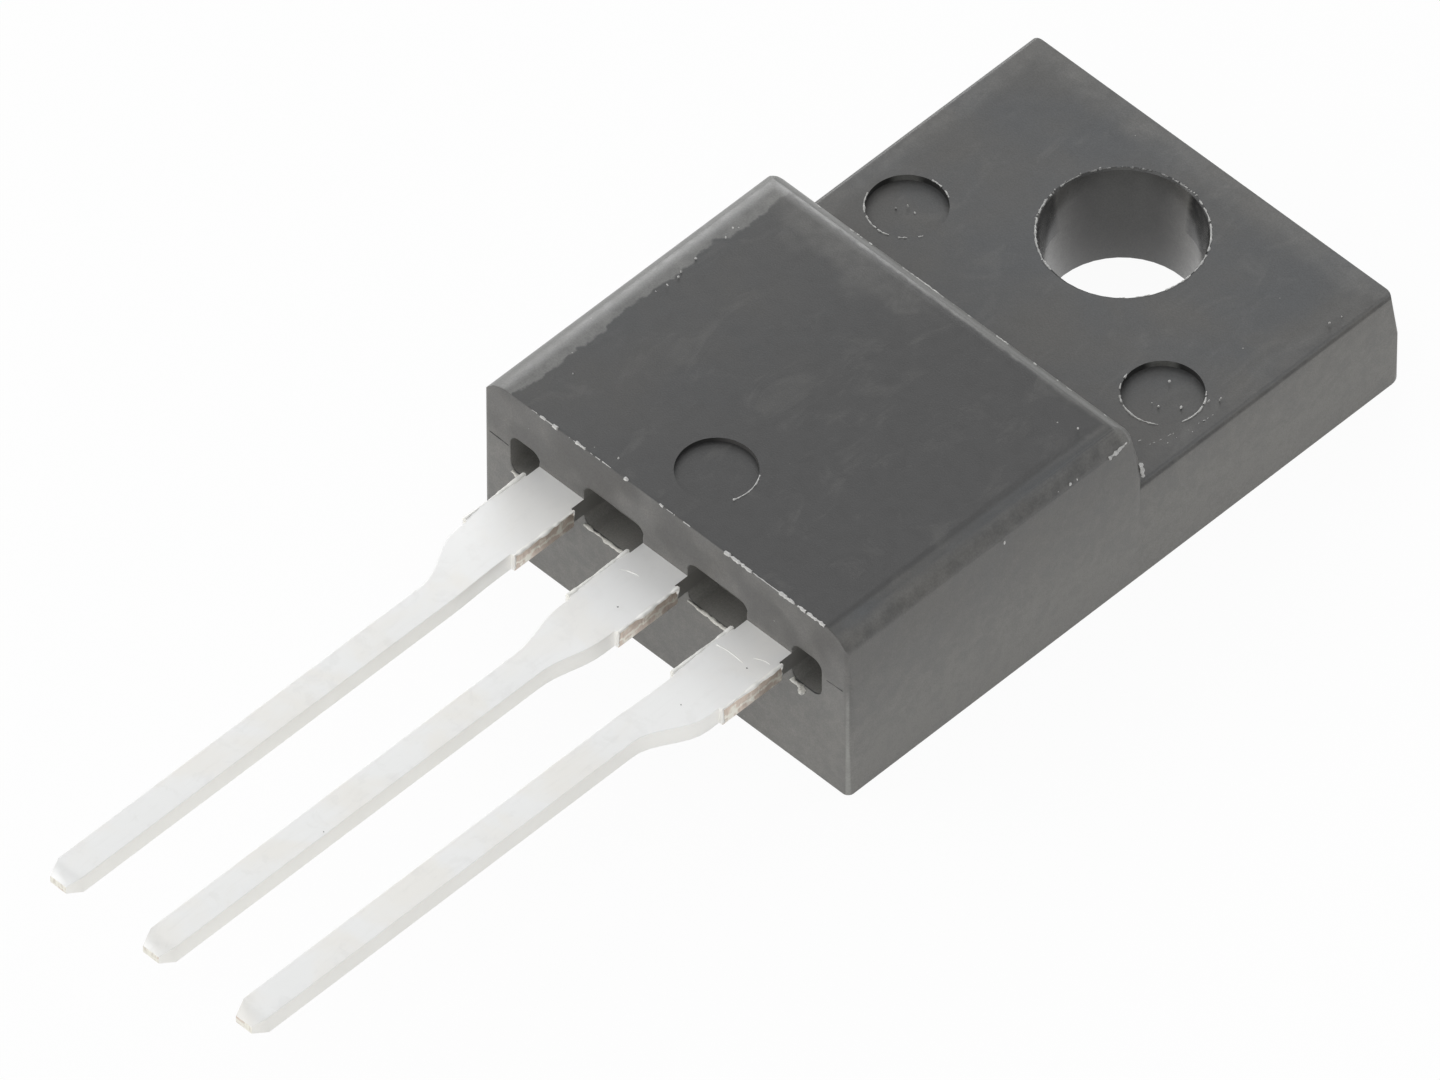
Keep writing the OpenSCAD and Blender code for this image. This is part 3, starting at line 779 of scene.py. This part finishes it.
def chipTree():
    tree, given, result = newTree("edgeChips", {"Spacing": 0.12, "Size": 0.02, "Kept": 0.5,
                                                "Spread": 0.02, "Seed": 1})
    line = geometry(tree, "MeshToCurve", {"Mesh": given["Line"]})
    points = geometry(tree, "CurveToPoints", {"Curve": line, "Length": given["Spacing"]}, mode="LENGTH")
    seed = given["Seed"]
    chance = addNode(tree, "FunctionNodeRandomValue", {"Seed": seed}, data_type="FLOAT").outputs[1]
    chosen = isBelow(tree, chance, given["Kept"])
    spread = randomVector(tree, (-1.0, -1.0, -1.0), (1.0, 1.0, 1.0), seed, 1.0)
    offset = vectorCalc(tree, "SCALE", {0: spread, "Scale": given["Spread"]})
    moved = geometry(tree, "SetPosition", {"Geometry": points, "Offset": offset})
    chip = geometry(tree, "MeshIcoSphere", {"Radius": 1.0, "Subdivisions": 1})
    turn = randomVector(tree, (0.0, 0.0, 0.0), chipShape["fullTurn"], seed, 2.0)
    stretch = randomVector(tree, chipShape["flattest"], chipShape["longest"], seed, 3.0)
    sized = vectorCalc(tree, "SCALE", {0: stretch, "Scale": given["Size"]})
    placed = geometry(tree, "InstanceOnPoints", {"Points": moved, "Selection": chosen, "Instance": chip,
                                                 "Rotation": turn, "Scale": sized})
    return tree, endTree(tree, placed, result)


strips = stripTree()
chips = chipTree()


def followLines(name, lines, maker, sizes, material=epoxyFlashAndHighlight):
    guide = bpy.data.meshes.new(name + "Guide")
    points, edges = [], []
    for line in lines:
        start = len(points)
        points += [tuple(p) for p in line]
        edges += [(start + i, start + i + 1) for i in range(len(line) - 1)]
    guide.from_pydata(points, edges, [])
    carrier = addToScene(name + "Carrier", guide)
    tree, paint = maker
    paint.inputs["Material"].default_value = material
    modifier = carrier.modifiers.new("follow", "NODES")
    modifier.node_group = tree
    for item in tree.interface.items_tree:
        if item.in_out == "INPUT" and item.name in sizes:
            modifier[item.identifier] = sizes[item.name]
    evaluated = carrier.evaluated_get(bpy.context.evaluated_depsgraph_get())
    mesh = bpy.data.meshes.new_from_object(evaluated)
    carrier.modifiers.remove(modifier)
    bpy.data.objects.remove(carrier)
    shape = bmesh.new()
    shape.from_mesh(mesh)
    bmesh.ops.scale(shape, vec=(mm,) * 3, verts=shape.verts)
    shape.to_mesh(mesh)
    shape.free()
    mesh.name = name
    piece = addToScene(name, mesh)
    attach(piece, "root")
    print(name, len(mesh.polygons), "faces")


def arc(x, y, z, radius, count, start, sweep):
    turns = [math.radians(start + sweep * i / count) for i in range(count)]
    return [(x + radius * math.cos(a), y + radius * math.sin(a), z) for a in turns]


def between(start, end, count=24, bow=(0.0, 0.0, 0.0)):
    a, b, bend = Vector(start), Vector(end), Vector(bow)
    return [tuple(a.lerp(b, i / count) + bend * (4 * (i / count) * (1 - i / count)))
            for i in range(count + 1)]


# Rough raised rims that the ejector pins leave: only parts of each rim stand up.
# An arc is the mark, where it starts and how far it goes, in degrees.
markRims = {"Thickness": 0.018, "Waviness": 0.035, "Grain": 0.09, "Broken": 0.44, "Step": 0.02, "Seed": 3,
            "outside": 0.02, "points": 60,
            "arcs": [(0, 200, 140), (0, 60, 40), (1, 190, 120), (1, -20, 70), (2, -35, 75)]}
rimArcRadius = moulding["markRadius"] + markRims["outside"]
followLines("ejectorMarkRims", [arc(*marks[i], rimArcRadius, markRims["points"], first, sweep)
                                for i, first, sweep in markRims["arcs"]], strips, markRims)


# Broken rim of the screw hole, pale with painted highlights
holeRim = {"Thickness": 0.018, "Waviness": 0.04, "Grain": 0.08, "Broken": 0.5, "Step": 0.02, "Seed": 5,
           "inside": 0.01, "points": 120, "arcs": [(70, 130), (-70, 75)]}
holeRimLeft = {**holeRim, "Thickness": 0.02, "Waviness": 0.05, "Broken": 0.36, "Seed": 27,
               "points": 80, "arcs": [(198, 62), (8, 60)]}
holeChips = {"Spacing": 0.07, "Size": 0.026, "Kept": 0.5, "Spread": 0.012, "Seed": 6,
             "inside": 0.0, "points": 100, "arcs": [(70, 190)]}


def holeArcs(look):
    z = moulding["tabTop"] - moulding["rimSunk"]
    radius = moulding["rimRadius"] - look["inside"]
    return [arc(0, 0, z, radius, look["points"], first, sweep) for first, sweep in look["arcs"]]


followLines("screwHoleRim", holeArcs(holeRim), strips, holeRim)
followLines("screwHoleRimLeft", holeArcs(holeRimLeft), strips, holeRimLeft)
followLines("screwHoleChips", holeArcs(holeChips), chips, holeChips)

# Painted highlights: pale streaks along the sharp front edge of the marked face, at the places that the
# photograph shows
frontEdgeHighlights = {"Thickness": 0.03, "Waviness": 0.045, "Grain": 0.09, "Broken": 0.38, "Step": 0.02, "Seed": 11,
                "inset": 0.012, "points": 24,
                "spans": [(-3.42, -3.28), (-3.08, -2.96), (-2.45, -2.2), (-1.12, -1.02), (-0.18, -0.06),
                          (1.62, 2.35), (3.0, 4.45)]}
fineEdgeHighlights = {"Thickness": 0.008, "Waviness": 0.02, "Grain": 0.15, "Broken": 0.55, "Step": 0.02, "Seed": 14,
               "inset": 0.01, "points": 200, "spans": [(-4.2, 4.5)]}


def alongFrontEdge(look):
    y, z = frontY + look["inset"], topZ - look["inset"]
    return [between((a, y, z), (b, y, z), look["points"]) for a, b in look["spans"]]


followLines("frontEdgeHighlightStrips", alongFrontEdge(frontEdgeHighlights), strips, frontEdgeHighlights)
followLines("frontEdgeFineHighlightStrips", alongFrontEdge(fineEdgeHighlights), strips, fineEdgeHighlights)


def straightLines(look):
    return [between(start, end, look.get("points", 24), *bow) for start, end, *bow in look["lines"]]


# Painted highlights: bright broken bits at the rear right corner. A line is its two ends, and its bow if it
# has one.
cornerHighlightBits = {"Thickness": 0.038, "Waviness": 0.04, "Grain": 0.1, "Broken": 0.3, "Step": 0.02, "Seed": 17,
              "lines": [((4.955, -5.5, 4.10), (4.93, -4.98, 4.14)),
                        ((4.95, -4.6, 3.22), (4.97, -4.56, 2.86))]}
followLines("cornerHighlightBits", straightLines(cornerHighlightBits), strips, cornerHighlightBits)

# Painted highlights: bright broken bits along the rear crown
rearHighlightBits = {"Thickness": 0.016, "Waviness": 0.05, "Grain": 0.12, "Broken": 0.52, "Step": 0.02, "Seed": 19,
            "points": 200, "lines": [((-4.3, -4.88, 4.31), (4.85, -4.88, 4.31))]}
followLines("rearEdgeHighlightBits", straightLines(rearHighlightBits), strips, rearHighlightBits)

# Scuffs on the tab, close to its right edge
tabSkin = moulding["tabTop"] - 0.004
scuffs = {"Thickness": 0.007, "Waviness": 0.1, "Grain": 0.06, "Broken": 0.52, "Step": 0.015, "Seed": 24,
          "points": 20, "lines": [((4.2, -3.95, tabSkin), (4.42, -3.0, tabSkin)),
                                  ((4.5, -3.4, tabSkin), (4.6, -2.2, tabSkin)),
                                  ((4.0, -3.9, tabSkin), (4.15, -3.3, tabSkin))]}
followLines("tabScuffs", straightLines(scuffs), strips, scuffs)

# Thin flash along the pockets' floors, where the mould closed on the strip
pocketFlash = {"Thickness": 0.036, "Waviness": 0.09, "Grain": 0.2, "Broken": 0.25, "Step": 0.03, "Seed": 8,
               "proud": 0.01, "sag": (0, 0, -0.05), "points": 30,
               "spans": [(-4.2, -3.75), (-2.2, -0.64), (0.64, 2.2)]}
flashY, flashZ = frontY - pocketFlash["proud"], moulding["pocketFloor"] + pocketFlash["proud"]
flashLines = [between((a, flashY, flashZ), (b, flashY, flashZ), pocketFlash["points"], pocketFlash["sag"])
              for a, b in pocketFlash["spans"]]
followLines("pocketFlash", flashLines, strips, pocketFlash, paleFlash)
flashLump = {"Thickness": 0.07, "Waviness": 0.1, "Grain": 0.12, "Broken": 0.0, "Step": 0.03, "Seed": 9,
             "lines": [((3.5, frontY - 0.03, 2.36), (3.75, frontY - 0.02, 2.28), 24),
                       ((3.78, frontY, 2.28), (3.7, frontY, 2.1), 8)]}
followLines("flashLump", [between(*line) for line in flashLump["lines"]], strips, flashLump, paleFlash)

# Seam of the mould, which shows beside the outer pockets
seam = {"Thickness": 0.01, "Waviness": 0.02, "Grain": 0.3, "Broken": 0.2, "Step": 0.03, "Seed": 31,
        "lines": [((-4.82, frontY, 3.0), (-4.3, frontY, 2.98)), ((4.4, frontY, 2.98), (4.83, frontY, 3.01))]}
followLines("mouldSeam", straightLines(seam), strips, seam, epoxySeam)

# Burrs that the shear left along the upper edge of each cut stub and down its two ends
leadTop = moulding["partingZ"]
burr = {"Thickness": 0.042, "Waviness": 0.03, "Grain": 0.4, "Broken": 0.0, "Step": 0.03, "Seed": 21,
        "inside": 0.014, "below": 0.012, "points": 30, "endPoints": 10,
        "nearEnd": {"shift": -0.01, "lean": 0.03, "foot": 2.74},
        "farEnd": {"shift": 0.02, "lean": 0.01, "foot": 2.66}}


def burrDown(x, y, side, end):
    y += end["shift"]
    return between((x, y, leadTop), (x - side * end["lean"], y, end["foot"]), burr["endPoints"])


def stubBurrs(middle, side):
    x = middle + side * (lead["broadHalf"] + lead["stubOut"] - burr["inside"])
    y0, y1 = frontY - lead["stubFrom"], frontY - lead["stubTo"]
    along = between((x, y0, leadTop - burr["below"]), (x, y1, leadTop - burr["below"]), burr["points"])
    return [along, burrDown(x, y0, side, burr["nearEnd"]), burrDown(x, y1, side, burr["farEnd"])]


burrLines = [line for nodeName, name, middle in lead["rows"] for side in (-1, 1)
             for line in stubBurrs(middle, side)]
followLines("stubBurrs", burrLines, strips, burr, burrTin)

# Small marks and pits on the leads
tinMarks = {"Thickness": 0.008, "Waviness": 0.02, "Grain": 0.2, "Broken": 0.1, "Step": 0.02, "Seed": 41,
            "points": 16, "lines": [((-0.45, -13.56, leadTop), (-0.06, -13.42, leadTop), (0.0, 0.04, 0.0)),
                                    ((3.02, -13.36, leadTop), (3.36, -13.26, leadTop), (0.0, 0.03, 0.0)),
                                    ((2.26, -13.62, leadTop), (2.95, -13.6, leadTop), (0.0, 0.03, 0.0))]}
followLines("leadMarks", straightLines(tinMarks), strips, tinMarks, burrTin)
pits = {"Spacing": 1.0, "Size": 0.022, "Kept": 1.0, "Spread": 0.0, "Seed": 2, "length": 0.01,
        "places": [(0.28, -22.38), (0.22, -14.27), (2.87, -15.21), (3.11, -13.64)]}
followLines("leadPits", [between((x, y, leadTop), (x + pits["length"], y, leadTop), 1)
                         for x, y in pits["places"]], chips, pits, epoxySeam)

# Pale specks of dust and filler, which lie in the marks on the tab, on the tab, on the marked face and on
# the crown at its right
markFloor = moulding["tabTop"] - moulding["markDepths"][0]
specks = {"Spacing": 0.11, "Size": 0.03, "Kept": 0.55, "Spread": 0.08, "Seed": 52, "points": 4, "lines": [
    ((3.3, -2.2, markFloor), (3.7, -2.1, markFloor)), ((3.4, -2.9, markFloor), (3.9, -2.5, markFloor)),
    ((-3.8, -2.6, markFloor), (-3.3, -2.3, markFloor)), ((4.3, -2.1, 2.505), (4.5, -1.8, 2.505)),
    ((4.62, -3.1, 2.505), (4.72, -2.4, 2.505)), ((4.5, 0.9, 2.505), (4.7, 1.5, 2.505)),
    ((3.9, -5.8, 4.518), (4.2, -5.7, 4.518)), ((-1.6, -12.4, 4.518), (-1.3, -12.1, 4.518)),
    ((-4.1, -9.0, 4.515), (-4.2, -6.2, 4.515)), ((-4.0, -11.9, 4.515), (-3.6, -11.4, 4.515)),
    ((4.93, -9.4, 4.12), (4.94, -8.2, 4.12)), ((4.9, -6.9, 4.16), (4.9, -6.1, 4.16))]}
followLines("specks", straightLines(specks), chips, specks)
print("flash and chips made")

# Floor, light and camera
floorLook = {"size": 6.0, "drop": 0.00001, "colour": (0.86, 0.86, 0.86, 1), "whiteShare": 0.95}
plainWhite = (1, 1, 1, 1)
floorMesh = bpy.data.meshes.new("floor")
half = floorLook["size"] / 2
floorCorners = [(-half, -half, 0), (half, -half, 0), (half, half, 0), (-half, half, 0)]
floorMesh.from_pydata(floorCorners, [], [(0, 1, 2, 3)])
floor = addToScene("floor", floorMesh)
floor.location.z = -floorLook["drop"]


def paperMaterial(look):
    paper = bpy.data.materials.new("palePaper")
    paper.use_nodes = True
    tree = paper.node_tree
    tree.nodes.clear()
    matte = addNode(tree, "ShaderNodeBsdfDiffuse", {"Color": look["colour"]})
    white = addNode(tree, "ShaderNodeEmission", {"Color": plainWhite, "Strength": 1.0})
    path = tree.nodes.new("ShaderNodeLightPath").outputs
    seen = largest(tree, path["Is Camera Ray"], path["Is Glossy Ray"], path["Is Transmission Ray"])
    blend = mixShaders(tree, times(tree, seen, look["whiteShare"]), matte.outputs[0], white.outputs[0])
    output = tree.nodes.new("ShaderNodeOutputMaterial")
    tree.links.new(blend, output.inputs[0])
    return paper


floorMesh.materials.append(paperMaterial(floorLook))

# The side of the room behind the right of the object is dimmer than the rest
skyLook = {"dim": (0.88, 0.474, 0.05), "dimRange": (0.5, 0.95, 1.0, 0.4), "light": 0.6, "seen": 1.0}


def skyColour(tree, strength):
    return addNode(tree, "ShaderNodeBackground", {"Color": plainWhite, "Strength": strength}).outputs[0]


def makeSky(look):
    world = bpy.data.worlds.new("studio")
    bpy.context.scene.world = world
    world.use_nodes = True
    tree = world.node_tree
    tree.nodes.clear()
    direction = tree.nodes.new("ShaderNodeTexCoord").outputs["Generated"]
    towards = vectorCalc(tree, "DOT_PRODUCT", {0: direction, 1: look["dim"]}, "Value")
    room = fade(tree, towards, *look["dimRange"])
    path = tree.nodes.new("ShaderNodeLightPath").outputs
    mirrored = largest(tree, path["Is Glossy Ray"], path["Is Transmission Ray"])
    lit, shown = (skyColour(tree, times(tree, room, look[use])) for use in ("light", "seen"))
    indirect = mixShaders(tree, mirrored, lit, shown)
    sky = mixShaders(tree, path["Is Camera Ray"], indirect, skyColour(tree, 1.0))
    output = tree.nodes.new("ShaderNodeOutputWorld")
    tree.links.new(sky, output.inputs[0])


makeSky(skyLook)

lamps = {
    "softBoxRear": {"place": (-0.42, 0.36, 0.2), "size": 0.26, "power": 0.9},
    "softBoxAbove": {"place": (0.12, 0.284, 0.51), "size": 0.28, "power": 0.24, "colour": (0.88, 0.94, 1.0)},
    "softBoxLeft": {"place": (-0.35, -0.28, 0.42), "size": 0.36, "power": 0.8},
    "softBoxFront": {"place": (0.1, -0.5, 0.24), "size": 0.3, "power": 0.5},
}
lampAim = Vector((0, -0.012, 0))
for name, look in lamps.items():
    data = bpy.data.lights.new(name, "AREA")
    data.size = look["size"]
    data.energy = look["power"]
    data.color = look.get("colour", (1, 1, 1))
    lamp = addToScene(name, data)
    lamp.location = look["place"]
    lamp.rotation_euler = (lampAim - lamp.location).to_track_quat("-Z", "Y").to_euler()
    lamp.visible_camera = False

# The photograph's view: a long lens from the front right, well above
view = {"azimuth": 44.705, "elevation": 48.202, "distance": 0.6537, "target": (-0.000564, -0.010669, 0.0015),
        "pixelsPerUnit": 33543.0, "imageWidth": 1440.0, "sensor": 36.0, "nearest": 0.01, "farthest": 20.0}
camData = bpy.data.cameras.new("camera")
camData.sensor_width = view["sensor"]
camData.lens = view["pixelsPerUnit"] / view["imageWidth"] * view["sensor"]
camData.clip_start, camData.clip_end = view["nearest"], view["farthest"]
camera = addToScene("camera", camData)
turn, rise = math.radians(view["azimuth"]), math.radians(view["elevation"])
back = Vector((math.sin(turn) * math.cos(rise), -math.cos(turn) * math.cos(rise), math.sin(rise)))
camera.location = Vector(view["target"]) + back * view["distance"]
camera.rotation_euler = (-back).to_track_quat("-Z", "Y").to_euler()
bpy.context.scene.camera = camera
bpy.context.scene.view_settings.view_transform = "Standard"
print("light and camera set")
